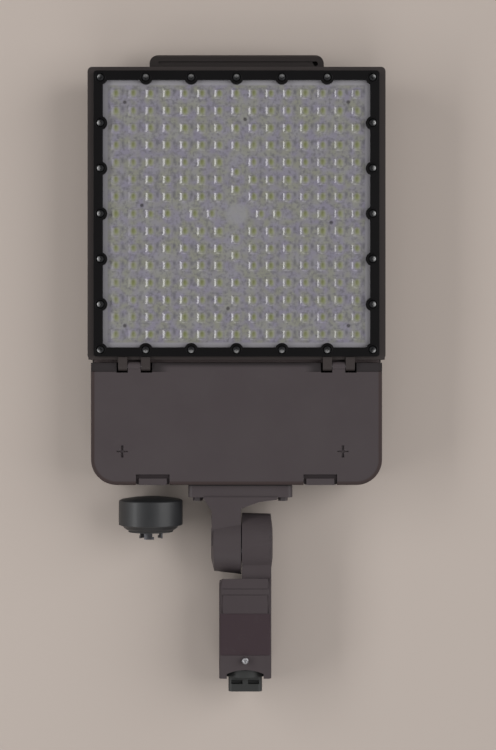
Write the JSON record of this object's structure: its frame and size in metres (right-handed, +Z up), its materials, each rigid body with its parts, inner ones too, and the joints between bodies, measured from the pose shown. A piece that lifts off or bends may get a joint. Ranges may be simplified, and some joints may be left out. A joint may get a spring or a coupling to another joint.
{
  "type": "shoebox area light",
  "caption": "LED parking-lot light with a square optic array, hinged driver door, tilting slip fitter for a pole tenon and a loose twist-lock cap.",
  "frame": {"origin": "on the surface that the light lies on, under the middle of its length and of its head", "axes": "+Z up out of the lens side as it lies on its back, +Y from the pole arm to the nose, +X to the right seen from above"},
  "size_m": [0.395, 0.8538, 0.086],
  "materials": {
    "bronze_casting": "satin powder coat, dark bronze",
    "black_frame": "satin black",
    "zinc_screws": "bright zinc",
    "steel_pins": "ground steel",
    "dark_screws": "dark bronze, satin",
    "green_screw": "green, satin",
    "black_rubber": "matte",
    "clear_lens": "clear moulded polycarbonate",
    "white_board": "white solder mask",
    "led_phosphor": "yellow phosphor",
    "white_plastic": "gloss",
    "red_lead": "insulated wire",
    "driver_can": "satin",
    "black_plastic": "moulded",
    "cap_plastic": "glossy moulded",
    "blade_metal": "dark",
    "brass_contacts": "brass"
  },
  "bodies": {
    "head": {"housing": "bronze_casting", "lens_frame": "black_frame", "frame_screws": "zinc_screws", "lens_gasket": "black_rubber", "lens_plate": "clear_lens", "led_board": "white_board", "led_chips": "led_phosphor", "board_screws": "zinc_screws", "board_connector": "white_plastic", "led_leads": "red_lead", "duct_grommet": "black_rubber", "door_gasket": "black_rubber", "hinge_pins": "steel_pins", "latch_pins": "steel_pins", "latch_springs": "steel_pins", "driver_left": "driver_can", "driver_right": "driver_can", "driver_screws": "zinc_screws", "surge_protector": "black_plastic", "terminal_block": "white_plastic", "ground_screw": "green_screw", "breather_vent": "black_plastic", "receptacle_nut": "zinc_screws", "receptacle_gasket": "black_rubber", "arm_bracket": "bronze_casting", "arm_gasket": "black_rubber", "arm_bolts": "zinc_screws", "arm_nuts": "zinc_screws", "arm_grommet": "black_rubber", "pivot_bolt": "zinc_screws", "pivot_washer": "steel_pins", "pivot_nut": "zinc_screws", "cap_shell": "cap_plastic", "cap_base": "cap_plastic", "cap_gasket": "black_rubber", "cap_blades": "blade_metal"},
    "door": {"door": "bronze_casting", "door_screws": "dark_screws"},
    "latch_left": {"latch_left": "bronze_casting"},
    "latch_right": {"latch_right": "bronze_casting"},
    "receptacle": {"receptacle": "black_plastic", "receptacle_contacts": "brass_contacts"},
    "slip_fitter": {"slip_fitter": "bronze_casting"},
    "end_plug": {"end_plug": "black_plastic"},
    "lock_screw": {"lock_screw": "zinc_screws"},
    "clamp_screw_near": {"clamp_screw_near": "zinc_screws"},
    "clamp_screw_far": {"clamp_screw_far": "zinc_screws"}
  },
  "joints": [
    {"name": "door_open", "type": "hinge", "parent": "head", "child": "door", "pos_m": [0, 0.0074, 0.074], "axis": [-1, 0, 0], "range_deg": [0, 100]},
    {"name": "latch_left_turn", "type": "hinge", "parent": "head", "child": "latch_left", "pos_m": [-0.111, -0.1429, 0.0439], "axis": [1, 0, 0], "range_deg": [0, 20], "stiffness_Nm_per_rad": 0.06},
    {"name": "latch_right_turn", "type": "hinge", "parent": "head", "child": "latch_right", "pos_m": [0.111, -0.1429, 0.0439], "axis": [1, 0, 0], "range_deg": [0, 20], "stiffness_Nm_per_rad": 0.06},
    {"name": "receptacle_turn", "type": "hinge", "parent": "head", "child": "receptacle", "pos_m": [0, -0.0674, 0.016], "axis": [0, 0, 1], "range_deg": [-170, 170]},
    {"name": "arm_tilt", "type": "hinge", "parent": "head", "child": "slip_fitter", "pos_m": [0.0065, -0.2314, 0.042], "axis": [-1, 0, 0], "range_deg": [0, 90]},
    {"name": "end_plug_pull", "type": "slide", "parent": "slip_fitter", "child": "end_plug", "axis": [0, -1, 0], "range_m": [0, 0.03]},
    {"name": "lock_screw_drive", "type": "slide", "parent": "slip_fitter", "child": "lock_screw", "axis": [0, 0, -1], "range_m": [0, 0.003]},
    {"name": "clamp_near_drive", "type": "slide", "parent": "slip_fitter", "child": "clamp_screw_near", "axis": [0, 0, 1], "range_m": [0, 0.003]},
    {"name": "clamp_far_drive", "type": "slide", "parent": "slip_fitter", "child": "clamp_screw_far", "axis": [0, 0, 1], "range_m": [0, 0.003]}
  ]
}
